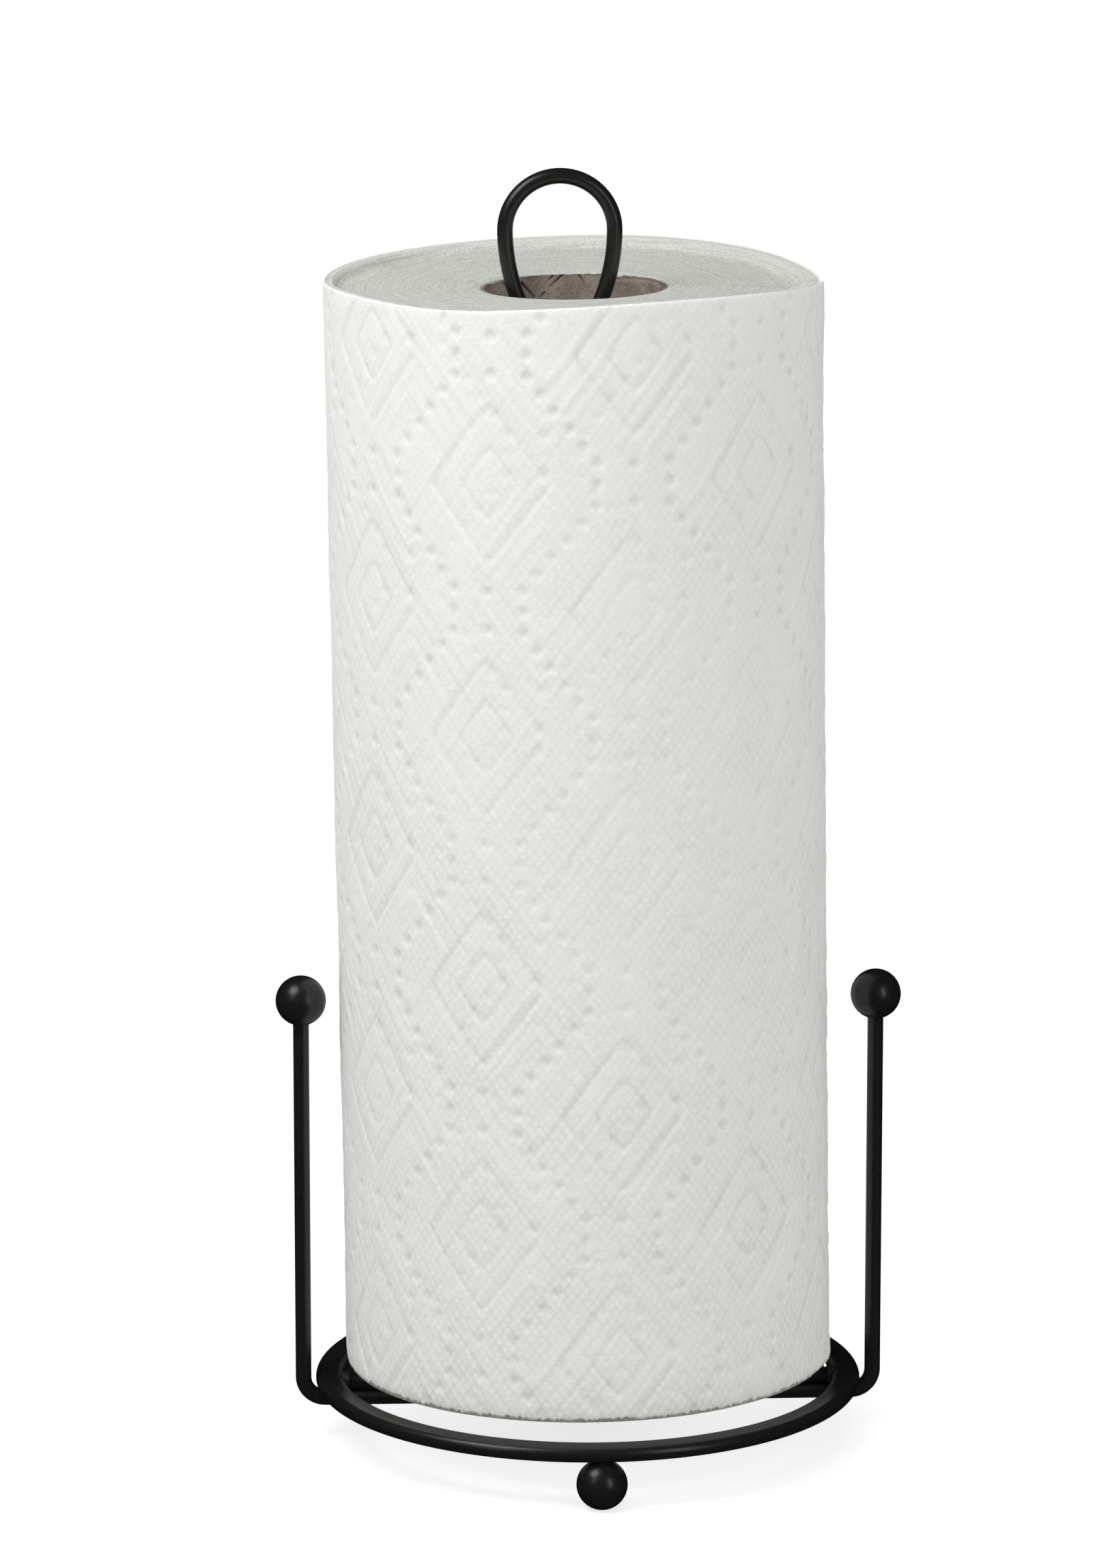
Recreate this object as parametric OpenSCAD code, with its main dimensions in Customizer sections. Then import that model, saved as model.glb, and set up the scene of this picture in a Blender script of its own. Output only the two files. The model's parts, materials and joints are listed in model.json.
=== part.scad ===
// Countertop paper towel holder: a bent-wire stand on three ball feet, loaded with a roll.
// Origin: on the table under the centre of the base ring. +Z is up, -Y is the front.

/* [Wire and balls] */
// Diameter of the bent steel wire
wire_d = 4; // [3.5:0.1:4.5]
// Diameter of the ball feet and of the finials on the side arms
ball_d = 12.7; // [11:0.1:14]
// Diameter of the small flats ground on the feet, under the ring and on the table
foot_flat_d = 2.6; // [2:0.1:3]
// Height of the weld fillets
weld = 0.9; // [0.5:0.1:1.2]
// How far the two long wires cross the ring in front of its centre
wires_forward = 3.2; // [0:0.1:4]

/* [Base ring] */
// Outer diameter of the ring
ring_od = 138.6; // [136:0.2:139]
// Width of the ring's flattened section, across
ring_w = 7.2; // [6.4:0.2:8]
// Height of the ring's flattened section
ring_h = 4; // [3.6:0.2:4.4]

/* [Side arms] */
// Distance between the centre lines of the two upright arms
arm_spacing = 145; // [145:1:155]
// Height of the finial centres above the table
finial_z = 114.4; // [80:0.2:160]
// Centre-line radius of the bends at the foot of the arms
arm_bend_r = 5.5; // [5:0.1:5.5]
// Diameter of the spigot on each arm that enters its finial
spigot_d = 2.4; // [2:0.1:2.8]
// Length of that spigot
spigot_len = 5; // [3:0.5:6]

/* [Centre post and loop] */
// Height of the top of the loop above the table
loop_top_z = 324.6; // [315:0.1:345]
// Width of the loop over the wire
loop_w = 31.2; // [28:0.2:34]
// Distance between the centre lines of the two legs of the post
leg_spacing = 4.4; // [4.4:0.1:6]
// Sideways lean of the post, to the left, in degrees
post_lean = 1.6; // [0:0.1:1.8]
// Sideways lean of the loop itself, to the left, in degrees
loop_lean = 0.2; // [0:0.1:1.8]
// Centre-line radius of the bends at the foot of the post
post_bend_r = 7; // [6:0.5:9]
// Angle at which the legs spread into the loop, in degrees
neck_angle = 30; // [25:1:35]
// Centre-line radius where the legs start to spread
neck_r = 18; // [14:1:20]
// Centre-line radius of the loop's long lower shoulders
shoulder_r = 46; // [40:1:50]

/* [Towel roll] */
// Diameter of the roll under its last sheet
winding_d = 121.6; // [110:0.2:122]
// Height of the towels, which is the width of one sheet
towel_h = 277.6; // [260:0.2:280]
// How far the outer turns have slid up past the inner ones
slid_up = 3.6; // [0:0.2:5]
// Outer diameter of the cardboard core
core_od = 46.2; // [45:0.2:48]
// Wall thickness of the core
core_wall = 0.9; // [0.6:0.1:1.2]
// Length of one sheet, measured round the roll
sheet_len = 279; // [240:1:300]
// Thickness of the last, quilted sheet
sheet_t = 0.6; // [0.4:0.1:0.8]
// Sideways lean of the roll, to the left, in degrees
roll_lean = 0.7; // [0:0.1:0.8]
// Backward lean of the roll, in degrees
roll_tilt = 0.6; // [0:0.1:0.8]
// Direction of the last sheet's free edge, in degrees from +X
free_edge_angle = -5; // [-30:1:30]

/* [Hidden] */

round_fn = 96;
wire_fn = 48;
weld_fn = 360;
swept_sides = 16;
// Gap that a weld bridges between two round parts
weld_gap = 0.1;
// Radial clearance of the paper on its core, and of the roll on its rest
running_gap = 0.06;

black = [0.08, 0.08, 0.08];
weld_black = [0.11, 0.11, 0.11];
paper_white = [0.95, 0.95, 0.94];
card_brown = [0.60, 0.53, 0.47];

ball_r = ball_d / 2;
foot_half = sqrt(pow(ball_r, 2) - pow(foot_flat_d / 2, 2));
foot_circle_r = (ring_od - ring_w) / 2;
ring_bottom_z = 2 * foot_half;
ring_mid_z = ring_bottom_z + ring_h / 2;
ring_inner_r = ring_od / 2 - ring_w;

arm_wire_z = ring_bottom_z - weld_gap - wire_d / 2;
finial_seat = sqrt(pow(ball_r, 2) - pow(wire_d / 2, 2));
arm_run = finial_z - finial_seat - arm_wire_z - arm_bend_r;
base_run = arm_spacing - 2 * arm_bend_r;

loop_wire_z = arm_wire_z + wire_d + weld_gap;
loop_wire_end_x = sqrt(pow(ring_inner_r, 2) - pow(wires_forward + wire_d / 2, 2)) - weld_gap;
top_r = (loop_w - wire_d) / 2;
neck_shift = (neck_r + shoulder_r) * (1 - cos(neck_angle));
neck_run = (top_r - leg_spacing / 2 - neck_shift) / sin(neck_angle);
neck_rise = (neck_r + shoulder_r) * sin(neck_angle) + neck_run * cos(neck_angle);
loop_mid_rise = loop_top_z - wire_d / 2 - loop_wire_z - top_r;
post_top = (loop_mid_rise - neck_rise * cos(loop_lean)) / cos(post_lean);
tack_weld_x = 30;
tack_weld_len = 6;

core_r = core_od / 2;
paper_bore_r = core_r + running_gap;
roll_base_z = loop_wire_z + wire_d / 2 + core_r * sin(roll_lean) + running_gap;
paper_z = 0.2;
core_len = towel_h - 2 * paper_z;
sheet_angle = sheet_len / (PI * (winding_d + sheet_t)) * 360;

// Places its children in the upright plane that the two long wires are bent in
module in_wire_plane() { translate([0, -wires_forward, 0]) children(); }

// A straight length of wire along +Z, with whatever comes next at its far end
module run(length) {
    cylinder(d = wire_d, h = length, $fn = wire_fn);
    translate([0, 0, length]) children();
}

// A bend in the X-Z plane, towards +X where the angle is positive
module bend(radius, angle) {
    side = sign(angle);
    turn = abs(angle);
    translate([side * radius, 0, 0])
        rotate([90, 0, 0])
            rotate_extrude(angle = turn, start = side > 0 ? 180 - turn : 0, $fn = round_fn)
                translate([radius, 0]) circle(d = wire_d, $fn = wire_fn);
    translate([side * radius * (1 - cos(turn)), 0, radius * sin(turn)])
        rotate([0, angle, 0]) children();
}

module ring_section() {
    end_x = (ring_w - ring_h) / 2;
    translate([-end_x, -ring_h / 2]) square([2 * end_x, ring_h]);
    for (side = [-1, 1]) translate([side * end_x, 0]) circle(d = ring_h, $fn = wire_fn);
}

module ring_body() {
    translate([0, 0, ring_mid_z])
        rotate_extrude($fn = 2 * round_fn) translate([foot_circle_r, 0]) ring_section();
}

// Half of the arm wire, from the middle of the base out to the end face under the finial
module half_arm_wire(side) {
    translate([0, 0, arm_wire_z])
        rotate([0, side * 90, 0])
            run(base_run / 2) bend(arm_bend_r, -side * 90) run(arm_run);
}

// Points on an arc in the X-Z plane, after its start
function arc(center, radius, from, to, steps) =
    [for (i = [1:steps])
        let (angle = from + (to - from) * i / steps)
        center + radius * [cos(angle), sin(angle)]];

// A point [x, z] turned about a pivot, towards the left at the top
function turned(p, angle, pivot = [0, 0]) =
    let (d = p - pivot)
    pivot + [d.x * cos(angle) - d.y * sin(angle), d.x * sin(angle) + d.y * cos(angle)];

// A point of the upright post and loop, leaned over with the post, and the loop back again
function leaned(p) = turned(turned(p, loop_lean - post_lean, [0, post_top]), post_lean);

// Centre line of the left (-1) or right (1) half of the loop wire, from its end to the top of the loop
function half_loop_path(side) =
    let (bend_x = side * (leg_spacing / 2 + post_bend_r),
        bend_rise = (post_bend_r - bend_x * sin(post_lean)) / cos(post_lean),
        bend_center = turned([bend_x, bend_rise], post_lean),
        loop_z = post_top + neck_rise,
        head = concat([[leg_spacing / 2, post_top]],
            arc([leg_spacing / 2 + neck_r, post_top], neck_r, 180, 180 - neck_angle, 4),
            [[top_r - shoulder_r * (1 - cos(neck_angle)), loop_z - shoulder_r * sin(neck_angle)]],
            arc([top_r - shoulder_r, loop_z], shoulder_r, -neck_angle, 0, 5),
            arc([0, loop_z], top_r, 0, 90, 9)))
    concat([[side * loop_wire_end_x, 0], [bend_center.x, 0]],
        arc(bend_center, post_bend_r, -90, -90 + side * (-90 + side * post_lean), 8),
        [for (p = head) leaned([side * p.x, p.y])]);

function reversed(list) = [for (i = [len(list) - 1:-1:0]) list[i]];
function unit(v) = v / norm(v);

// A wire swept along a path of [x, z] points, as one closed solid
module swept_wire(path) {
    last = len(path) - 1;
    points = [for (i = [0:last])
        let (along = unit(path[min(i + 1, last)] - path[max(i - 1, 0)]))
        for (k = [0:swept_sides - 1])
            let (a = 360 * k / swept_sides, out = wire_d / 2 * cos(a))
            [path[i].x - along.y * out, wire_d / 2 * sin(a), path[i].y + along.x * out]];
    walls = [for (i = [0:last - 1], k = [0:swept_sides - 1])
        let (a = i * swept_sides + k, b = i * swept_sides + (k + 1) % swept_sides)
        [a, b, b + swept_sides, a + swept_sides]];
    start_cap = [for (k = [swept_sides - 1:-1:0]) k];
    end_cap = [for (k = [0:swept_sides - 1]) last * swept_sides + k];
    polyhedron(points, concat([start_cap], walls, [end_cap]), convexity = 6);
}

module base_ring() { color(black) ring_body(); }

module side_arm_wire() {
    color(black) in_wire_plane() for (side = [-1, 1]) {
        half_arm_wire(side);
        translate([side * arm_spacing / 2, 0, finial_z - finial_seat])
            cylinder(d = spigot_d, h = spigot_len, $fn = wire_fn);
    }
}

module center_loop_wire() {
    right_half = reversed(half_loop_path(1));
    color(black) in_wire_plane() translate([0, 0, loop_wire_z])
        swept_wire(concat(half_loop_path(-1), [for (i = [1:len(right_half) - 1]) right_half[i]]));
}

// A ball with a flat seat below and a blind hole for the arm's spigot
module finial(side) {
    color(black) in_wire_plane() translate([side * arm_spacing / 2, 0, finial_z]) difference() {
        sphere(d = ball_d, $fn = round_fn);
        translate([0, 0, -ball_d]) cylinder(d = ball_d, h = ball_d - finial_seat, $fn = round_fn);
        translate([0, 0, -ball_r - 1])
            cylinder(d = spigot_d + weld_gap, h = ball_r + 1 - finial_seat + spigot_len + 0.5, $fn = wire_fn);
    }
}

module finial_left() { finial(-1); }
module finial_right() { finial(1); }

// A ball with a small flat on the table and one under the ring
module foot(angle) {
    color(black) rotate([0, 0, angle]) translate([foot_circle_r, 0, foot_half]) intersection() {
        sphere(d = ball_d, $fn = round_fn);
        translate([-ball_d / 2, -ball_d / 2, -foot_half]) cube([ball_d, ball_d, 2 * foot_half]);
    }
}

foot_angles = [-90, 150, 30];
module foot_front() { foot(foot_angles[0]); }
module foot_rear_left() { foot(foot_angles[1]); }
module foot_rear_right() { foot(foot_angles[2]); }

// Fillet of weld round the flat between each ball foot and the ring
module foot_welds() {
    color(weld_black) for (angle = foot_angles) rotate([0, 0, angle]) difference() {
        translate([foot_circle_r, 0, ring_bottom_z - weld])
            cylinder(d = foot_flat_d + 2 * weld, h = weld, $fn = weld_fn);
        translate([foot_circle_r, 0, foot_half]) sphere(d = ball_d, $fn = weld_fn);
    }
}

// A length of wire along X, to cut the welds to
module wire_cut(x, z, length) {
    in_wire_plane() translate([x, 0, z]) rotate([0, 90, 0])
        cylinder(d = wire_d, h = length, center = true, $fn = weld_fn);
}

// Weld between the arm wire and the underside of the ring, at both crossings
module arm_wire_welds() {
    inner_x = ring_inner_r + 1;
    color(weld_black) for (side = [-1, 1]) difference() {
        in_wire_plane() translate([side * (inner_x + base_run / 2) / 2, 0, arm_wire_z + wire_d / 2])
            cube([base_run / 2 - inner_x, wire_d + weld, wire_d / 2], center = true);
        ring_body();
        wire_cut(0, arm_wire_z, base_run);
    }
}

// Collars of weld where the ends of the loop wire meet the inside of the ring
module loop_wire_end_welds() {
    color(weld_black) for (side = [-1, 1]) difference() {
        in_wire_plane() translate([side * (loop_wire_end_x - weld), 0, loop_wire_z]) rotate([0, side * 90, 0])
            cylinder(d = wire_d + weld, h = 2 * weld, $fn = wire_fn);
        ring_body();
        wire_cut(0, loop_wire_z, 2 * loop_wire_end_x);
        wire_cut(0, arm_wire_z, base_run);
    }
}

// Tacks that hold the loop wire down on the arm wire, on both sides of the post
module post_tack_welds() {
    color(weld_black) for (side = [-1, 1]) difference() {
        in_wire_plane() translate([side * tack_weld_x, 0, (arm_wire_z + loop_wire_z) / 2])
            cube([tack_weld_len, 2 * weld, 2 * weld], center = true);
        for (z = [arm_wire_z, loop_wire_z]) wire_cut(side * tack_weld_x, z, 2 * tack_weld_len);
    }
}

// Places its children on the roll's own axis, at the bottom of the core
module on_roll() {
    translate([0, 0, roll_base_z]) rotate([-roll_tilt, -roll_lean, 0]) children();
}

module core_tube() {
    color(card_brown) on_roll() difference() {
        cylinder(r = core_r, h = core_len, $fn = round_fn);
        translate([0, 0, -1]) cylinder(r = core_r - core_wall, h = core_len + 2, $fn = round_fn);
    }
}

module towel_winding() {
    color(paper_white) on_roll() rotate_extrude($fn = 2 * round_fn)
        polygon([[paper_bore_r, paper_z], [winding_d / 2, paper_z + slid_up],
            [winding_d / 2, paper_z + slid_up + towel_h], [paper_bore_r, paper_z + towel_h]]);
}

module outer_sheet() {
    color(paper_white) on_roll()
        rotate_extrude(angle = sheet_angle, start = free_edge_angle - sheet_angle, $fn = 2 * round_fn)
            translate([winding_d / 2, paper_z + slid_up]) square([sheet_t, towel_h]);
}

base_ring();
side_arm_wire();
center_loop_wire();
finial_left();
finial_right();
foot_front();
foot_rear_left();
foot_rear_right();
foot_welds();
arm_wire_welds();
loop_wire_end_welds();
post_tack_welds();
core_tube();
towel_winding();
outer_sheet();
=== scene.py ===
"""Looks of a countertop paper towel holder and its roll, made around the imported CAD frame.

Everything is in metres and in the frame's axes. Points on the roll are made in the roll's own
coordinates: an angle from its X axis, a radius from its axis and a height over its base.
"""
import json
import math

import bmesh
import bpy
import numpy as np
from mathutils import Euler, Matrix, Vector


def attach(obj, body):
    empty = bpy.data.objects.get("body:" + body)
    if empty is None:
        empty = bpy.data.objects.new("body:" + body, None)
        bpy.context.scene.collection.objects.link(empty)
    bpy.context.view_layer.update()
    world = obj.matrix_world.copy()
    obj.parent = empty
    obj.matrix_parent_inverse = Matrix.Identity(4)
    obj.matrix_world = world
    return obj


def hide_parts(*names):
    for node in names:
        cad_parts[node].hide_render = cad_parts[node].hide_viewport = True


MM = 0.001

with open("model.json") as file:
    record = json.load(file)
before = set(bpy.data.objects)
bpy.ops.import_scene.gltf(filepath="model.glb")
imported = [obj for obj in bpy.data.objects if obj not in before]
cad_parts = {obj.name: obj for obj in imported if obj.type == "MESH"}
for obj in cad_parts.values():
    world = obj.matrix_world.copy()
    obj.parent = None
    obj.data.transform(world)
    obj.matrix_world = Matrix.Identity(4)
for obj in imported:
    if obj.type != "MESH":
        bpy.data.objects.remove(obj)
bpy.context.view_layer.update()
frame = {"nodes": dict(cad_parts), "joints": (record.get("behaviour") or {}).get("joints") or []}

# ---------------------------------------------------------------- camera, light and floor

CAMERA_PLACE = (-0.1, -1.8337, 0.5789)
# How far the camera looks down, and to the right, in radians
CAMERA_DOWN = 0.2198
CAMERA_RIGHT = 0.0498
# Lens and sensor in millimetres
LENS = 172.4
SENSOR = 36
FLOOR_SIZE = 14
FLOOR_GLOW = 0.74
SKY_GLOW = 0.62
# The middle of the roll, which every softbox faces
AIM = Vector((0, 0, 0.16))


def add_camera():
    camera = bpy.data.objects.new("camera", bpy.data.cameras.new("camera"))
    camera.data.lens = LENS
    camera.data.sensor_width = SENSOR
    camera.location = CAMERA_PLACE
    camera.rotation_euler = Euler((math.pi / 2 - CAMERA_DOWN, 0, -CAMERA_RIGHT))
    bpy.context.scene.collection.objects.link(camera)
    bpy.context.scene.camera = camera


def add_softbox(name, place, width, height, power, lights=True, mirrored=True):
    """A rectangular light, and whether it lights the object and whether the object mirrors it."""
    light = bpy.data.lights.new(name, "AREA")
    light.shape = "RECTANGLE"
    light.size = width
    light.size_y = height
    light.energy = power
    softbox = bpy.data.objects.new(name, light)
    softbox.location = place
    softbox.visible_diffuse = lights
    softbox.visible_glossy = mirrored
    softbox.rotation_euler = (AIM - Vector(place)).to_track_quat("-Z", "Y").to_euler()
    bpy.context.scene.collection.objects.link(softbox)


def add_world(strength):
    world = bpy.data.worlds.new("studio")
    world.use_nodes = True
    background = world.node_tree.nodes["Background"]
    background.inputs["Color"].default_value = (1, 1, 1, 1)
    background.inputs["Strength"].default_value = strength
    # The black wire mirrors only the softboxes, as in a dark studio
    world.cycles_visibility.glossy = False
    bpy.context.scene.world = world


# ---------------------------------------------------------------- materials

# Noise scales, in features to the metre
PEEL = 650
GRAINS = 3800
FIBRES = 1500
PATCHES = 70
FUZZ = 1300
BLOTCHES = 160
FELT = 2200
FLOOR_CLOUDS = 3
# Where the noise starts and ends its run from one colour to the other
GRAIN_ENDS = (0.35, 0.7)
PAPER_SHADE_ENDS = (0.1, 0.9)
RING_ENDS = (0.12, 0.36)
FLECK_ENDS = (0.12, 0.42)
# The powder coat's darkest and lightest grains, as shares of its shade
GRAIN_SHADES = (0.6, 1.5)
# Heights of the fine reliefs
PEEL_DEPTH = 0.05 * MM
FIBRE_DEPTH = 0.16 * MM
FUZZ_DEPTH = 0.7 * MM
FELT_DEPTH = 0.35 * MM
# The wound edges: features to the metre round the roll, and across the turns
RINGS = (70, 2600, 1)
# How much paler the raised band is painted, as painted light, and how much darker the embossing's
# hollows are painted, as painted shade with a little of pressed paper's denser tone
BAND_PAINTED_LIGHT = 0.09
PAINTED_PRESSED_SHADE = 0.5
# How uneven the cushions of the lattice are, and how strong they are at the bottom and the top
LATTICE_RANDOMNESS = 0.4
LATTICE_FADE = (1.5, 0.8)


def add_node(tree, kind, sockets=None, **settings):
    """A shader node. A socket's value is a number, a colour or the output that feeds it."""
    node = tree.nodes.new("ShaderNode" + kind)
    for name, value in settings.items():
        setattr(node, name, value)
    for name, value in (sockets or {}).items():
        if isinstance(value, bpy.types.NodeSocket):
            tree.links.new(value, node.inputs[name])
        else:
            node.inputs[name].default_value = value
    return node


def new_material(name, roughness, specular):
    material = bpy.data.materials.new(name)
    material.use_nodes = True
    shader = material.node_tree.nodes["Principled BSDF"]
    shader.inputs["Roughness"].default_value = roughness
    shader.inputs["Specular IOR Level"].default_value = specular
    return material, material.node_tree, shader


def noise(tree, coordinates, scale, detail=3):
    sockets = {"Vector": coordinates, "Scale": scale, "Detail": detail}
    return add_node(tree, "TexNoise", sockets).outputs["Fac"]


def blend_colours(tree, factor, first, second, ends=(0, 1)):
    """From the first colour to the second, as the factor goes from one end to the other."""
    ramp = add_node(tree, "ValToRGB", {"Fac": factor})
    for element, colour, end in zip(ramp.color_ramp.elements, (first, second), ends):
        element.color = (*colour, 1)
        element.position = end
    return ramp.outputs["Color"]


def object_coordinates(tree):
    return add_node(tree, "TexCoord").outputs["Object"]


def powder_coat(name, shade, roughness, grain):
    """Black powder coat: a fine orange-peel skin that shows a little lighter on its grains."""
    material, tree, shader = new_material(name, roughness, specular=0.5)
    place = object_coordinates(tree)
    peel = noise(tree, place, PEEL, 2)
    grains = noise(tree, place, GRAINS, 2)
    dark = [GRAIN_SHADES[0] * c for c in shade]
    light = [GRAIN_SHADES[1] * c for c in shade]
    colour = blend_colours(tree, grains, dark, light, GRAIN_ENDS)
    tree.links.new(colour, shader.inputs["Base Color"])
    skin = {"Height": peel, "Distance": PEEL_DEPTH, "Strength": 0.5}
    coarse = add_node(tree, "Bump", skin)
    fine = {"Height": grains, "Distance": grain, "Strength": 0.6}
    fine["Normal"] = coarse.outputs["Normal"]
    tree.links.new(add_node(tree, "Bump", fine).outputs["Normal"], shader.inputs["Normal"])
    return material


def towel_paper(name, light, dark):
    """Soft white tissue: a lattice of tiny cushions pressed in by the rollers, and loose fibres.

    The attribute "web" holds the place on the unrolled paper, in metres along and up, and how
    deep the embossing is there, from 0 to 1. The paper is painted darker in the embossing's
    hollows, as painted shade with a little of pressed paper's denser tone, and in the grooves of
    the lattice, as painted shade.
    """
    material, tree, shader = new_material(name, roughness=0.92, specular=0.25)
    web = add_node(tree, "Attribute", attribute_name="web").outputs["Vector"]
    parts = add_node(tree, "SeparateXYZ", {"Vector": web})
    up, pressed_shade = parts.outputs["Y"], parts.outputs["Z"]
    side = math.sqrt(0.5)
    cell = (side / LATTICE_HALF_WIDTH, side / LATTICE_HALF_HEIGHT, 1)
    turned = {"Vector": web, "Scale": cell, "Rotation": (0, 0, math.pi / 4)}
    cells = add_node(tree, "Mapping", turned).outputs["Vector"]
    grid = {"Vector": cells, "Scale": 1, "Randomness": LATTICE_RANDOMNESS}
    lattice = add_node(tree, "TexVoronoi", grid, voronoi_dimensions="2D").outputs["Distance"]
    # The lattice is crispest near the bottom of the roll
    fading = {"Value": up, "From Max": SHEET_HEIGHT}
    fading["To Min"], fading["To Max"] = LATTICE_FADE
    fading = add_node(tree, "MapRange", fading).outputs["Result"]
    patches = noise(tree, object_coordinates(tree), PATCHES, 2)
    patches = add_node(tree, "Math", {0: patches, 1: fading}, operation="MULTIPLY")
    patches = patches.outputs["Value"]
    lattice = add_node(tree, "Math", {0: lattice, 1: patches}, operation="MULTIPLY")
    lattice = lattice.outputs["Value"]
    fibres = noise(tree, object_coordinates(tree), FIBRES, 5)
    # Painted shade: the paper is painted darker in the embossing's hollows and in the lattice's
    # grooves
    shade = {0: pressed_shade, 1: PAINTED_PRESSED_SHADE, 2: lattice}
    shade = add_node(tree, "Math", shade, operation="MULTIPLY_ADD").outputs["Value"]
    colour = blend_colours(tree, shade, light, dark, PAPER_SHADE_ENDS)
    tree.links.new(colour, shader.inputs["Base Color"])
    cushioned = {"Height": lattice, "Distance": LATTICE_DEPTH, "Strength": 1}
    cushions = add_node(tree, "Bump", cushioned, invert=True)
    loose = {"Height": fibres, "Distance": FIBRE_DEPTH, "Strength": 0.6}
    loose["Normal"] = cushions.outputs["Normal"]
    tree.links.new(add_node(tree, "Bump", loose).outputs["Normal"], shader.inputs["Normal"])
    return material


def cut_paper(name, light, dark):
    """The cut edges of the wound towels: thin rings, pressed together and slightly fuzzy.

    The attribute "web" holds the distance round the roll, the distance from its axis, and how
    far a point belongs to the raised band, which is looser and is painted paler: painted light.
    The greys of these edges are darker than the sheet's white: painted shade between the layers.
    """
    material, tree, shader = new_material(name, roughness=0.95, specular=0.2)
    web = add_node(tree, "Attribute", attribute_name="web").outputs["Vector"]
    band = add_node(tree, "SeparateXYZ", {"Vector": web}).outputs["Z"]
    stretched = {"Vector": web, "Scale": RINGS}
    rings = noise(tree, add_node(tree, "Mapping", stretched).outputs["Vector"], 1, 3)
    fuzz = noise(tree, object_coordinates(tree), FUZZ, 5)
    both = add_node(tree, "Math", {0: rings, 1: fuzz}, operation="MULTIPLY")
    # Painted light: the raised band is painted paler than the rest of the face
    shade = {0: band, 1: BAND_PAINTED_LIGHT, 2: both.outputs["Value"]}
    shade = add_node(tree, "Math", shade, operation="MULTIPLY_ADD").outputs["Value"]
    colour = blend_colours(tree, shade, dark, light, RING_ENDS)
    tree.links.new(colour, shader.inputs["Base Color"])
    layered = {"Height": both.outputs["Value"], "Distance": FUZZ_DEPTH, "Strength": 0.9}
    tree.links.new(add_node(tree, "Bump", layered).outputs["Normal"], shader.inputs["Normal"])
    return material


def rough_card(name, light, dark, crease_shade_and_lip_colour):
    """Grey-brown core board with flecks and a felted surface.

    The attribute "web" says, from 0 to 1, how much of a dark colour a point gets: painted shade in
    the creases, and a darker band along the lip.
    """
    material, tree, shader = new_material(name, roughness=0.9, specular=0.25)
    place = object_coordinates(tree)
    blotches = noise(tree, place, BLOTCHES, 4)
    felt = noise(tree, place, FELT, 5)
    both = add_node(tree, "Math", {0: blotches, 1: felt}, operation="MULTIPLY")
    fleck = blend_colours(tree, both.outputs["Value"], dark, light, FLECK_ENDS)
    # Painted shade in the creases, and a darker band along the lip
    crease_shade_and_lip = add_node(tree, "Attribute", attribute_name="web").outputs["Vector"]
    crease_shade_and_lip = add_node(tree, "SeparateXYZ", {"Vector": crease_shade_and_lip}).outputs["X"]
    colours = add_node(tree, "Mix", {"Factor": crease_shade_and_lip}, data_type="RGBA")
    tree.links.new(fleck, colours.inputs["A"])
    colours.inputs["B"].default_value = (*crease_shade_and_lip_colour, 1)
    tree.links.new(colours.outputs["Result"], shader.inputs["Base Color"])
    felted = {"Height": both.outputs["Value"], "Distance": FELT_DEPTH, "Strength": 0.7}
    tree.links.new(add_node(tree, "Bump", felted).outputs["Normal"], shader.inputs["Normal"])
    return material


def pale_floor():
    """A seamless white table, lit from under as on a light table."""
    material, tree, shader = new_material("floor", roughness=0.9, specular=0.1)
    clouds = noise(tree, object_coordinates(tree), FLOOR_CLOUDS, 2)
    colour = blend_colours(tree, clouds, (0.44, 0.44, 0.44), (0.46, 0.46, 0.46))
    tree.links.new(colour, shader.inputs["Base Color"])
    shader.inputs["Emission Color"].default_value = (1, 1, 1, 1)
    shader.inputs["Emission Strength"].default_value = FLOOR_GLOW
    return material


# ---------------------------------------------------------------- the roll's coordinates


def unit(vector):
    vector = np.array(vector, float)
    return vector / np.linalg.norm(vector)


spin = next(joint for joint in frame["joints"] if joint["name"] == "roll_spin")
ROLL_BASE = np.array(spin["pos_m"], float)
ROLL_Z = unit(spin["axis"])
ROLL_X = unit(np.cross((0, 1, 0), ROLL_Z))
ROLL_Y = np.cross(ROLL_Z, ROLL_X)


def roll_extents(node):
    """Inner radius, outer radius, bottom and top of a CAD node about the roll's axis."""
    places = np.array([v.co for v in frame["nodes"][node].data.vertices]) - ROLL_BASE
    radius = np.hypot(places @ ROLL_X, places @ ROLL_Y)
    height = places @ ROLL_Z
    return radius.min(), radius.max(), height.min(), height.max()


def on_roll(angle, radius, height):
    """Points in the frame's axes from angle, radius and height, which are arrays of one shape."""
    across = (radius * np.cos(angle))[..., None] * ROLL_X
    ahead = (radius * np.sin(angle))[..., None] * ROLL_Y
    return ROLL_BASE + across + ahead + height[..., None] * ROLL_Z


def smooth(t):
    """0 to 1 with a level start and end."""
    t = np.clip(t, 0, 1)
    return t * t * (3 - 2 * t)


def waves(x, y, lengths, seed):
    """Gentle unevenness between about -1 and 1: crossed waves of the given lengths."""
    chance = np.random.default_rng(seed)
    total = 0
    for length in lengths:
        turn, start = chance.uniform(0, 2 * math.pi, 2)
        total = total + np.sin(2 * math.pi * (x * np.cos(turn) + y * np.sin(turn)) / length + start)
    return total / len(lengths)


# ---------------------------------------------------------------- building pieces


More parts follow.
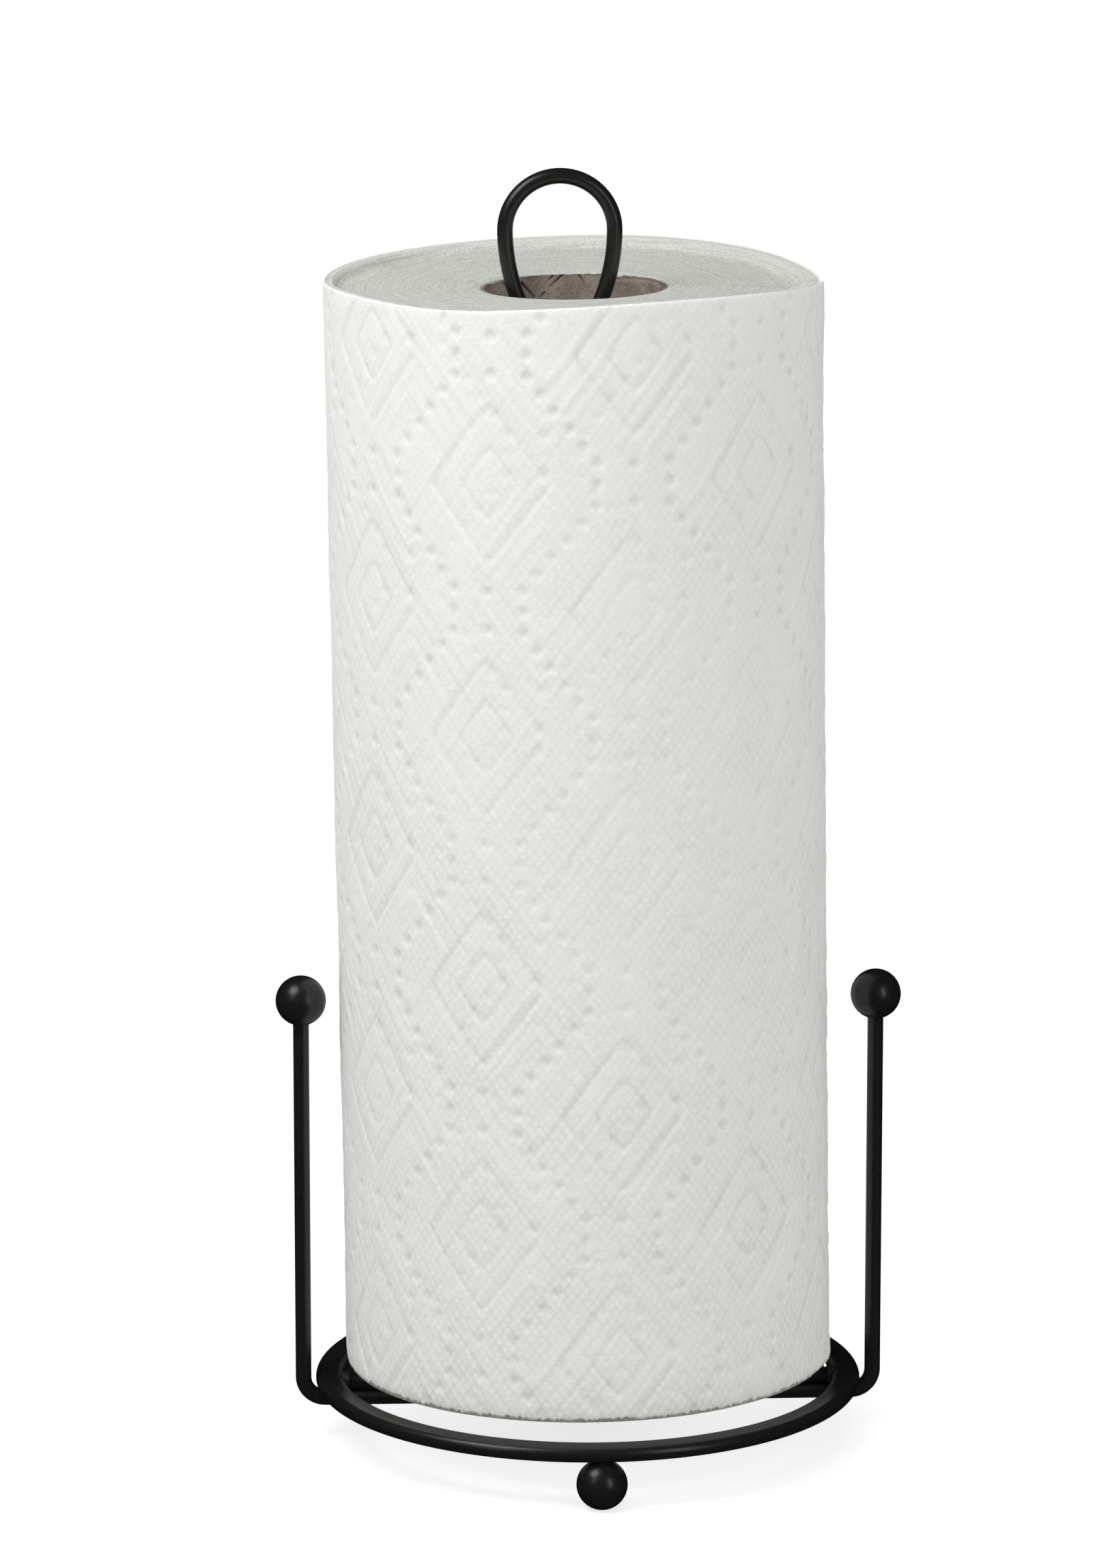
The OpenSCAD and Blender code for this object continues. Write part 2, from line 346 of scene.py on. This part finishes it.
def grid_faces(rows, columns, wrap_rows=False, wrap_columns=False):
    """Quads over points that are numbered row by row."""
    row = np.arange(rows if wrap_rows else rows - 1)
    column = np.arange(columns if wrap_columns else columns - 1)
    row, column = np.meshgrid(row, column, indexing="ij")
    next_row = (row + 1) % rows
    next_column = (column + 1) % columns
    corners = [(row, column), (row, next_column), (next_row, next_column), (next_row, column)]
    return np.stack([r * columns + c for r, c in corners], -1).reshape(-1, 4).tolist()


def finish_piece(piece, body, nodes):
    for polygon in piece.data.polygons:
        polygon.use_smooth = True
    bpy.context.scene.collection.objects.link(piece)
    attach(piece, body)
    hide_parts(*nodes)
    return piece


def add_piece(name, points, faces, web, materials, body, nodes):
    """A new piece of the object. web is what its material needs to know at each point."""
    mesh = bpy.data.meshes.new(name)
    mesh.from_pydata(points.reshape(-1, 3).tolist(), [], faces)
    attribute = mesh.attributes.new("web", "FLOAT_VECTOR", "POINT")
    attribute.data.foreach_set("vector", web.astype(np.float32).ravel())
    for material in materials:
        mesh.materials.append(material)
    return finish_piece(bpy.data.objects.new(name, mesh), body, nodes)


# ---------------------------------------------------------------- the paper's pattern

# Spacing of the columns of diamonds, their pitch up the paper, and their drift as they go up
COLUMN_SPACING = 35.5 * MM
COLUMN_PITCH = 62.7 * MM
COLUMN_DRIFT = 0.027
# One diamond's centre: its distance from the free edge, and its height
DIAMOND_ALONG = 117.4 * MM
DIAMOND_UP = 175.4 * MM
# Half width and half height of the outer and the inner diamond, and how round their corners are
OUTER_DIAMOND = (15.6 * MM, 20.2 * MM)
INNER_DIAMOND = (7.6 * MM, 9.8 * MM)
CORNER_ROUNDING = 1 * MM
# How much lower the inside of each diamond lies, and how deep the groove on its outline is
OUTER_STEP = 0.2 * MM
INNER_STEP = 0.18 * MM
GROOVE = 0.2 * MM
GROOVE_HALF = 0.7 * MM
INSIDE_REACH = 4 * MM
OUTSIDE_REACH = 0.5 * MM
# Dimples: their radius and depth, and the shallow dip of the paper round each
DIMPLE_R = 1.9 * MM
DIMPLE_DEPTH = 0.5 * MM
DIP_REACH = 1.6
DIP_DEPTH = 0.07 * MM
# A chain of dimples: how far it keeps from a column's middle and from a crossing, and its steps
CHAIN_OFFSET = 9 * MM
CHAIN_END = 5.2 * MM
CHAIN_STEPS = 5
# The dimple on a column's middle, from a crossing
LONE_DIMPLE = 4.7 * MM
# The fine lattice of cushions
LATTICE_HALF_WIDTH = 1.17 * MM
LATTICE_HALF_HEIGHT = 1.56 * MM
LATTICE_DEPTH = 0.14 * MM
# The layer below shows through by this share, moved round and up by this much, with ridges
GHOST_SHARE = 0.45
GHOST_SHIFT = (13 * MM, 24 * MM)
RIDGE_PITCH = 3.4 * MM
RIDGE_HEIGHT = 0.11 * MM
RIDGE_REACH = 9 * MM
# Where the pattern is flattest: its distance from the free edge and height, and its reach
IRONED_PLACE = (72 * MM, 160 * MM)
IRONED_REACH = (38 * MM, 75 * MM)
# What is left of the pattern on the whole, and how much less is left there
CRISP = 0.85
IRONED = 0.35
# It also comes and goes by this much, in waves of these lengths
UNEVEN = 0.2
UNEVEN_WAVES = (140 * MM, 83 * MM, 57 * MM)


def pressed_line(distance, step):
    """An embossed outline: the inside lies lower and rises slowly, with a groove on the line."""
    inside = np.exp(np.minimum(distance, 0) / INSIDE_REACH)
    outside = np.exp(-np.maximum(distance, 0) / OUTSIDE_REACH)
    line = np.exp(-((distance / GROOVE_HALF) ** 2))
    return -step * inside * outside - GROOVE * line


def from_diamond(x, y, half_sizes):
    """Distance outside a diamond about the origin, negative inside it."""
    half_width, half_height = half_sizes
    slope = math.hypot(1 / half_width, 1 / half_height)
    across = np.hypot(x, CORNER_ROUNDING) / half_width
    upwards = np.hypot(y, CORNER_ROUNDING) / half_height
    return (across + upwards - 1) / slope


def folded(along, up):
    """Place relative to the nearest diamond's centre."""
    drifted = along - DIAMOND_ALONG + COLUMN_DRIFT * (up - DIAMOND_UP)
    column = np.round(drifted / COLUMN_SPACING)
    x = drifted - column * COLUMN_SPACING
    rise = (up - DIAMOND_UP) / COLUMN_PITCH - 0.5 * np.mod(column, 2)
    y = (rise - np.round(rise)) * COLUMN_PITCH
    return x, y


def dimple_places():
    """The dimples of a quarter of the pattern, from a diamond's centre."""
    half_pitch = COLUMN_PITCH / 2
    places = [(0, half_pitch - LONE_DIMPLE), (CHAIN_OFFSET, half_pitch)]
    run = COLUMN_SPACING - 2 * CHAIN_OFFSET
    fall = half_pitch - 2 * CHAIN_END
    for step in range(CHAIN_STEPS + 1):
        share = step / CHAIN_STEPS
        places.append((CHAIN_OFFSET + share * run, half_pitch - CHAIN_END - share * fall))
    return places


def embossing(along, up):
    """Height of the quilted pattern over the plain paper, in metres."""
    x, y = folded(along, up)
    height = pressed_line(from_diamond(x, y, OUTER_DIAMOND), OUTER_STEP)
    height += pressed_line(from_diamond(x, y, INNER_DIAMOND), INNER_STEP)
    for place_x, place_y in dimple_places():
        near = np.hypot(np.abs(x) - place_x, np.abs(y) - place_y) / DIMPLE_R
        height -= DIMPLE_DEPTH * np.clip(1 - near**2, 0, 1) ** 1.5
        height -= DIP_DEPTH * np.exp(-((near / DIP_REACH) ** 2))
    return height


def crispness(along, up):
    """How much of the pattern is left: handling has ironed it out here and there."""
    ironed_x = (along - IRONED_PLACE[0]) / IRONED_REACH[0]
    ironed_y = (up - IRONED_PLACE[1]) / IRONED_REACH[1]
    uneven = UNEVEN * waves(along, up, UNEVEN_WAVES, 8)
    return CRISP + uneven - IRONED * np.exp(-(ironed_x**2) - ironed_y**2)


def ghost(along, up):
    """What shows of the layer below: its pattern, and ridges that run along its diamonds."""
    along = along + GHOST_SHIFT[0]
    up = up + GHOST_SHIFT[1]
    x, y = folded(along, up)
    off = from_diamond(x, y, OUTER_DIAMOND)
    ridges = np.cos(2 * math.pi * off / RIDGE_PITCH) * np.exp(-((off / RIDGE_REACH) ** 2))
    return GHOST_SHARE * embossing(along, up) + RIDGE_HEIGHT * ridges


# ---------------------------------------------------------------- the roll

SHEET_LENGTH = 279 * MM
SHEET_THICKNESS = 0.6 * MM
# The pattern is never deeper than this, and the cushions between its lines rise by this much
DEEPEST = 0.52 * MM
CUSHION_RISE = 0.1 * MM
# From this depth the paper is painted with shade, as in the embossing's hollows, and this much
# further down it has its full painted shade
PRESSED_SHADE_FROM = 0.2 * MM
PRESSED_SHADE_SPAN = 0.3 * MM
FREE_EDGE = math.radians(-5)
# One layer's thickness, which is what the spiral loses in a turn
LAYER = 0.6 * MM
# How far the outer turn runs on under its own free edge
TUCK = math.radians(3)
# Fine steps along and up the outer turn, and its few rows of points on the inside
STEP = 0.62 * MM
INNER_ROWS = 8

core_inner, core_outer, core_bottom, core_top = roll_extents("core_tube")
bore, _, winding_bottom, _ = roll_extents("towel_winding")
_, sheet_outer, sheet_bottom, sheet_top = roll_extents("outer_sheet")
SHEET_HEIGHT = sheet_top - sheet_bottom

# How the roll's rim rises and falls against its mean, by the direction in degrees: the turns
# have slid up past each other unevenly
RIM_WAVE = [
    (-180, -1.6), (-158, -0.9), (-122, -1.9), (-98, -0.5), (-74, 0.5), (-48, -0.1), (-8, -3.1),
    (14, -2.7), (40, -0.6), (70, 0.6), (110, 0), (145, -0.8), (180, -1.6),
]
# The heights are averaged over these turns to both sides, in degrees
RIM_SMOOTHING = range(-9, 10, 3)
# The lifted corner at the free edge: its reach along and down, and how far it stands off
CORNER_REACH = 18 * MM
CORNER_MIDDLE = 11 * MM
CORNER_HALF = 12 * MM
CORNER_LIFT = 0.4 * MM
CORNER_CREASE = 0.3 * MM
CORNER_CREASE_HALF = 0.9 * MM
# How far the outer turns stand out at the top of their left side
SWELL = 1.1 * MM
# The bottom edge hangs level, this far over the CAD sheet's
BOTTOM_RISE = 0.1 * MM
# It flares out under the free edge by this much, this far round to both sides and up
LOOSE_HEM = 0.7 * MM
LOOSE_HEM_SPREAD = math.radians(30)
LOOSE_HEM_REACH = 3 * MM
# Teeth along the free edge and slits along the perforation, at one pitch
TOOTH_PITCH = 7 * MM
TOOTH_DEPTH = 0.35 * MM
TEAR_ROUGHNESS = 0.12 * MM
SLIT_DEPTH = 0.25 * MM
BRIDGE_SHARE = 0.2
# Loose fibres at the two cut edges
TOP_FUZZ = 0.04 * MM
BOTTOM_FUZZ = 0.3 * MM
# Towards a cut edge the pattern fades over this distance, and the edge curls in
EDGE_FADE = 4 * MM
EDGE_CURL = 0.2 * MM
EDGE_CURL_REACH = 0.8 * MM
# The paper's own slackness: height and wave lengths of the broad waves and of the small ones
SLACK = 0.16 * MM
SLACK_WAVES = (38 * MM, 61 * MM, 23 * MM, 90 * MM)
RUMPLE = 0.05 * MM
RUMPLE_WAVES = (7 * MM, 9 * MM, 5 * MM)


def spiral_radius(turn, up):
    """Outer radius of the outer turn, turn radians on from the free edge."""
    swell = SWELL * (up / sheet_top) * (1 - np.cos(FREE_EDGE - turn)) / 2
    return sheet_outer - LAYER * turn / (2 * math.pi) + swell


def rim_height(angle):
    """Height of the outer turn's top edge."""
    marks, heights = np.array(RIM_WAVE, float).T
    total = 0
    for shift in RIM_SMOOTHING:
        degrees = np.mod(np.degrees(angle) + shift + 180, 360) - 180
        total = total + np.interp(degrees, marks, heights)
    return sheet_top + MM * total / len(RIM_SMOOTHING)


def zipped(first, second):
    """Triangles between two lists of points, one finer than the other."""
    faces = []
    at = 0
    for step in range(len(first) - 1):
        faces.append((first[step], first[step + 1], second[at]))
        reached = round((step + 1) / (len(first) - 1) * (len(second) - 1))
        while at < reached:
            faces.append((first[step + 1], second[at + 1], second[at]))
            at += 1
    return faces


def outer_turn_lift(along, down):
    """How far the outer turn stands off the roll at its free corner, with the crease there."""
    off = np.hypot(along / CORNER_REACH, (down - CORNER_MIDDLE) / CORNER_HALF)
    top = smooth(1 - down / (CORNER_MIDDLE + CORNER_HALF))
    lift = CORNER_LIFT * smooth(1 - along / CORNER_REACH) * top
    crease = CORNER_CREASE * np.exp(-(((off - 1) * CORNER_HALF / CORNER_CREASE_HALF) ** 2))
    return lift - crease * (down < 2 * CORNER_MIDDLE)


def add_outer_turn(paper):
    """The last sheet, from its free edge to its perforation, and what shows of the next one."""
    turn_length = sheet_outer * (2 * math.pi + TUCK)
    columns = round(turn_length / STEP)
    rows = round(SHEET_HEIGHT / STEP)
    share_up, share_along = np.meshgrid(
        np.linspace(0, 1, rows), np.linspace(0, 1, columns), indexing="ij"
    )
    chance = np.random.default_rng(3)
    # The free edge was torn along its perforation, which left a row of small teeth
    teeth = TOOTH_DEPTH * np.abs(np.mod(share_up[:, :1] * SHEET_HEIGHT / TOOTH_PITCH, 1) - 0.5)
    teeth += TEAR_ROUGHNESS * chance.random((rows, 1))
    along = teeth + (turn_length - teeth) * share_along
    turn = along / sheet_outer
    angle = FREE_EDGE - turn
    rim = rim_height(angle)
    hem = sheet_bottom + BOTTOM_RISE
    # Both edges were cut when the roll was made, and the lower one is worn fuzzy
    top_fuzz = TOP_FUZZ * chance.standard_normal(columns) * share_up**60
    bottom_fuzz = BOTTOM_FUZZ * chance.standard_normal(columns) * (1 - share_up) ** 120
    up = hem + (rim - hem) * share_up + top_fuzz + bottom_fuzz
    down = rim - up
    relief = crispness(along, up) * (embossing(along, up) + ghost(along, up))
    # How much painted shade the paper gets in the embossing's hollows
    pressed_shade = np.clip((-relief - PRESSED_SHADE_FROM) / PRESSED_SHADE_SPAN, 0, 1)
    relief += CUSHION_RISE
    relief += SLACK * waves(along, up, SLACK_WAVES, 5)
    relief += RUMPLE * waves(along, up, RUMPLE_WAVES, 6)
    edge = np.minimum(down, up - hem)
    relief *= 0.5 + 0.5 * smooth(edge / EDGE_FADE)
    relief -= EDGE_CURL * np.exp(-edge / EDGE_CURL_REACH)
    slit = np.abs(along - SHEET_LENGTH) < 0.8 * STEP
    relief -= SLIT_DEPTH * slit * (np.mod(up / TOOTH_PITCH, 1) > BRIDGE_SHARE)
    relief = np.maximum(relief, -DEEPEST)
    plain = spiral_radius(turn, up) + outer_turn_lift(along, down)
    off_right = np.abs(np.mod(angle - FREE_EDGE + math.pi, 2 * math.pi) - math.pi)
    loose = smooth(1 - off_right / LOOSE_HEM_SPREAD) * np.exp(-(up - hem) / LOOSE_HEM_REACH)
    plain = plain + LOOSE_HEM * loose
    outer = plain + relief
    inner_share = np.linspace(1, 0, INNER_ROWS)
    inner_index = np.round(inner_share * (rows - 1)).astype(int)
    inner = plain[inner_index] - SHEET_THICKNESS
    points = np.concatenate([
        on_roll(angle, outer, up),
        on_roll(angle[inner_index], inner, up[inner_index]),
    ])
    web = np.stack([along, up, pressed_shade], -1)
    web = np.concatenate([web, web[inner_index]])
    faces = grid_faces(rows + INNER_ROWS, columns, wrap_rows=True)
    for end, flip in ((0, 1), (columns - 1, -1)):
        outside = [row * columns + end for row in range(rows)]
        inside = [(rows + row) * columns + end for row in reversed(range(INNER_ROWS))]
        faces += [face[::flip] for face in zipped(outside, inside)]
    piece = add_piece(
        "outer_turn", points, faces, web, [paper], "towels", ["outer_sheet"]
    )


# The raised band of the outermost turns round the top face, and the slopes down from it
BAND_WIDTH = 1.4 * MM
STEEP_SLOPE = 2 * MM
EASY_SLOPE = 7 * MM
BAND_BELOW_RIM = 0.12 * MM
FACE_DROP = 2.3 * MM
BOTTOM_HOLLOW = 3 * MM
# How the two faces curve from the core out: 1 is a straight cone
FACE_CURVE = 1.6
# Heights of the wound edges' unevenness in millimetres, everywhere and next to the core, and
# how far from the core that reaches
RING_RELIEF = (0.06, 0.1)
CORE_REACH = 9 * MM
# Lengths of its waves across the turns, and of the patches where it is stronger
RING_WAVES = (1.5 * MM, 2.3 * MM, 3.7 * MM)
RING_PATCHES = (17 * MM, 29 * MM, 11 * MM)
# Air between the outer turn and the turns under it
WALL_GAP = 0.02 * MM
# The paper next to the core stands a little over it, rounded off at its edge
OVER_CORE = 0.5 * MM
# Steps round the roll, across its face and down its wall
ROUND_STEPS = 720
FACE_STEPS = 170
WALL_STEPS = 24


def ring_relief(angle, radius, seed):
    """Unevenness of the wound edges: each turn stands a little higher or lower."""
    spiral = radius - LAYER * angle / (2 * math.pi)
    turns = waves(spiral, 0 * spiral, RING_WAVES, seed)
    x, y = radius * np.cos(angle), radius * np.sin(angle)
    patches = 0.6 + 0.4 * waves(x, y, RING_PATCHES, seed + 1)
    near_core = np.exp(-(radius - bore) / CORE_REACH)
    return (RING_RELIEF[0] + RING_RELIEF[1] * near_core) * MM * turns * patches


def wound_wall(turn, up):
    """Outer radius of the turns under the outer one."""
    return spiral_radius(turn, up) - SHEET_THICKNESS - WALL_GAP


def add_windings(cut, paper):
    """All the turns under the outer one, round the core."""
    angle = FREE_EDGE - np.linspace(0, 2 * math.pi, ROUND_STEPS, endpoint=False)
    turn = FREE_EDGE - angle
    turn = np.where(turn < TUCK, turn + 2 * math.pi, turn)
    rim = rim_height(angle)
    face_share = np.linspace(0, 1, FACE_STEPS)[:, None]
    top_wall = wound_wall(turn, rim)
    radius = bore + (top_wall - bore) * face_share
    inner_top = core_top + OVER_CORE
    slope = ((radius - bore) / (sheet_outer - bore)) ** FACE_CURVE
    top = inner_top + (rim - FACE_DROP - inner_top) * slope
    band_slope = STEEP_SLOPE + (EASY_SLOPE - STEEP_SLOPE) * (1 + np.cos(angle)) / 2
    band = smooth((radius - top_wall + BAND_WIDTH + band_slope) / band_slope)
    top = top + band * (rim - BAND_BELOW_RIM - top)
    top = top + ring_relief(angle, radius, 11)
    top = top - OVER_CORE * np.exp(-(radius - bore) / OVER_CORE)
    under_radius = bore + (wound_wall(turn, sheet_bottom) - bore) * face_share
    bottom = winding_bottom + BOTTOM_HOLLOW * face_share**FACE_CURVE
    bottom = np.maximum(bottom + ring_relief(angle, under_radius, 21), winding_bottom)
    wall_share = np.linspace(0, 1, WALL_STEPS)[1:-1, None]
    outside_up = top[-1] + (bottom[-1] - top[-1]) * wall_share
    bore_up = bottom[0] + (top[0] - bottom[0]) * wall_share
    outside = wound_wall(turn, outside_up)
    inside = np.full_like(bore_up, bore)
    radii = np.concatenate([radius, outside, under_radius[::-1], inside])
    heights = np.concatenate([top, outside_up, bottom[::-1], bore_up])
    angles = np.broadcast_to(angle, radii.shape)
    round_the_roll = -angles * 0.5 * (bore + sheet_outer)
    banded = np.zeros_like(radii)
    banded[: len(band)] = band
    web = np.stack([round_the_roll, radii, banded], -1)
    faces = grid_faces(len(radii), ROUND_STEPS, wrap_rows=True, wrap_columns=True)
    add_piece(
        "towel_windings", on_roll(angles, radii, heights), faces, web,
        [cut, paper], "towels", ["towel_winding"],
    )


# Creases inside the core by its lip: start and end, each as degrees round and mm below the lip,
# and depth in mm
CREASES = [
    ((123, 1.5), (114, 5.2), 0.5),
    ((124, 1.2), (121, 2.6), 0.35),
    ((95, 0.1), (103, 2.7), 0.4),
    ((101, 0.1), (104, 1.2), 0.35),
    ((107, 4.3), (110, 5.4), 0.35),
    ((111, 0.8), (116, 3.4), -0.25),
    ((84, 0.2), (81, 1.8), 0.3),
    ((140, 0.6), (133, 3.5), 0.3),
    ((60, 6.5), (48, 9.5), -0.2),
]
CREASE_HALF = 0.26 * MM
# The inner ply ends this far below the lip, between these directions in degrees
PLY_EDGE = 0.9 * MM
PLY_FROM = 12
PLY_TO = 72
PLY_THICKNESS = 0.22 * MM
# Rise of the spiral seam in a turn, its depth and its half width
SEAM_LEAD = 86 * MM
SEAM_DEPTH = 0.18 * MM
SEAM_HALF = 0.5 * MM
# The frayed lip: its roughness and notches, the lengths of both in radians, and their reach down
LIP_ROUGHNESS = 0.18 * MM
LIP_WAVES = (0.11, 0.07, 0.31, 0.043)
NOTCH_DEPTH = 0.35 * MM
NOTCH_WAVES = (0.9, 0.37)
LIP_REACH = 3 * MM
# The board's own unevenness inside
BORE_RUMPLE = 0.1 * MM
BORE_WAVES = (9 * MM, 14 * MM, 6 * MM)
# The least board that is left anywhere
THINNEST = 0.25 * MM
# A crease this deep gets its full painted shade, and the lip is painted darker by this much, this
# far down
FULL_CREASE_SHADE = 0.3 * MM
LIP_DARKER = 0.6
LIP_DARKER_REACH = 0.25 * MM
# Steps round the core, and down its outside
CORE_STEPS = 512
OUTSIDE_STEPS = 12


def crease_depth(angle, down):
    total = 0
    across = angle * core_inner
    for (start_deg, start_down), (end_deg, end_down), depth in CREASES:
        start = np.array([math.radians(start_deg) * core_inner, start_down * MM])
        end = np.array([math.radians(end_deg) * core_inner, end_down * MM])
        run = end - start
        share = ((across - start[0]) * run[0] + (down - start[1]) * run[1]) / (run @ run)
        share = np.clip(share, 0, 1)
        off = np.hypot(across - start[0] - share * run[0], down - start[1] - share * run[1])
        total = total + depth * MM * np.exp(-((off / CREASE_HALF) ** 2)) * (1 - 0.5 * share)
    return total


def add_core(card):
    """The wound cardboard core, with a rough lip, creases and its spiral seam."""
    angle = np.linspace(0, 2 * math.pi, CORE_STEPS, endpoint=False)
    height = core_top - core_bottom
    # The steps are finest at the lip, where the creases are
    down = np.concatenate([
        np.arange(0, 12, 0.3) * MM, np.arange(12, 40, 1.4) * MM, np.linspace(40 * MM, height, 60)
    ])[:, None]
    lip = LIP_ROUGHNESS * waves(angle, 0 * angle, LIP_WAVES, 31)
    lip = lip - NOTCH_DEPTH * smooth(waves(angle, 0 * angle, NOTCH_WAVES, 32) * 2 - 0.6)
    up = core_top + lip * np.exp(-down / LIP_REACH) - down
    creases = crease_depth(angle, down)
    inside = core_inner + 0.5 * creases
    inside = inside + BORE_RUMPLE * waves(angle * core_inner, down, BORE_WAVES, 33)
    ply = (np.degrees(angle) > PLY_FROM) & (np.degrees(angle) < PLY_TO)
    above_ply = down < PLY_EDGE + 0.15 * MM * np.sin(9 * angle)
    inside = inside + PLY_THICKNESS * ply * above_ply
    seam = np.mod(angle / (2 * math.pi) + down / SEAM_LEAD, 1) * SEAM_LEAD
    inside = inside + SEAM_DEPTH * np.exp(-((seam / SEAM_HALF) ** 2))
    inside = np.minimum(inside, core_outer - THINNEST)
    outside = np.full((OUTSIDE_STEPS, CORE_STEPS), core_outer)
    outside_up = np.linspace(up[-1], up[0], OUTSIDE_STEPS)
    radii = np.concatenate([inside, outside])
    heights = np.concatenate([up, outside_up])
    angles = np.broadcast_to(angle, radii.shape)
    # Painted shade in the creases, and a darker band painted along the lip
    dark = np.zeros_like(radii)
    dark[: len(inside)] = np.clip(creases / FULL_CREASE_SHADE, 0, 1)
    dark[: len(inside)] += LIP_DARKER * np.exp(-down / LIP_DARKER_REACH)
    web = np.stack([np.clip(dark, 0, 1), 0 * dark, 0 * dark], -1)
    faces = grid_faces(len(radii), CORE_STEPS, wrap_rows=True, wrap_columns=True)
    add_piece(
        "card_core", on_roll(angles, radii, heights), faces, web,
        [card], "roll_core", ["core_tube"],
    )


# ---------------------------------------------------------------- the stand

# Edges that bend by more than this, in radians, are those round the wire's two end faces
END_FACE_ANGLE = 1.0


def add_loop_wire(coat):
    """The centre post and loop with its facets rounded off."""
    source = frame["nodes"]["center_loop_wire"].data
    shape = bmesh.new()
    shape.from_mesh(source)
    bmesh.ops.remove_doubles(shape, verts=shape.verts, dist=0.001 * MM)
    bmesh.ops.join_triangles(
        shape, faces=shape.faces, angle_face_threshold=0.6, angle_shape_threshold=3
    )
    crease = shape.edges.layers.float.new("crease_edge")
    for edge in shape.edges:
        if edge.calc_face_angle(0) > END_FACE_ANGLE:
            edge[crease] = 1
    mesh = bpy.data.meshes.new("loop_wire")
    shape.to_mesh(mesh)
    shape.free()
    mesh.materials.append(coat)
    piece = bpy.data.objects.new("loop_wire", mesh)
    rounding = piece.modifiers.new("rounding", "SUBSURF")
    rounding.levels = 2
    rounding.render_levels = 2
    finish_piece(piece, "frame", ["center_loop_wire"])


def coat_stand(coat, weld_coat):
    for name, node in frame["nodes"].items():
        node.data.materials.clear()
        node.data.materials.append(weld_coat if name.endswith("welds") else coat)


# ---------------------------------------------------------------- the scene

bpy.context.scene.view_settings.view_transform = "Standard"
add_camera()
add_world(SKY_GLOW)
add_softbox("left_strip", (-1.2, -1.2, 1.1), 0.25, 1.1, 1.8, lights=False)
add_softbox("right_strip", (1.0, -1.45, 0.65), 0.25, 1.1, 4.2)
add_softbox("top_softbox", (-0.1, -0.9, 1.5), 1.0, 0.6, 3.6, mirrored=False)
add_softbox("left_corner", (-0.45, -0.25, 0.75), 0.4, 0.4, 2.6)

BLACK = (0.010, 0.010, 0.0095)
black = powder_coat("black_powder_coat", BLACK, 0.31, 0.02 * MM)
weld_black = powder_coat("coated_weld_bead", BLACK, 0.5, 0.05 * MM)
# The second colour is the painted shade in the embossing's hollows and the lattice's grooves
quilted = towel_paper("quilted_paper", (0.84, 0.838, 0.818), (0.7, 0.7, 0.672))
# The cut faces' greys are darker than the sheet's: painted shade between the layers
cut = cut_paper("cut_edges", (0.66, 0.66, 0.62), (0.42, 0.42, 0.39))
# The last colour is the painted shade in the creases, also used for the darker band along the lip
card = rough_card("core_board", (0.46, 0.4, 0.34), (0.2, 0.165, 0.14), (0.02, 0.016, 0.014))

coat_stand(black, weld_black)
add_loop_wire(black)
add_windings(cut, quilted)
add_outer_turn(quilted)
add_core(card)

bpy.ops.mesh.primitive_plane_add(size=FLOOR_SIZE)
floor = bpy.context.object
floor.name = "floor"
floor.data.materials.append(pale_floor())
# The white table is seen, and takes shadows, but doesn't light the object from below
floor.visible_diffuse = False
floor.visible_glossy = False
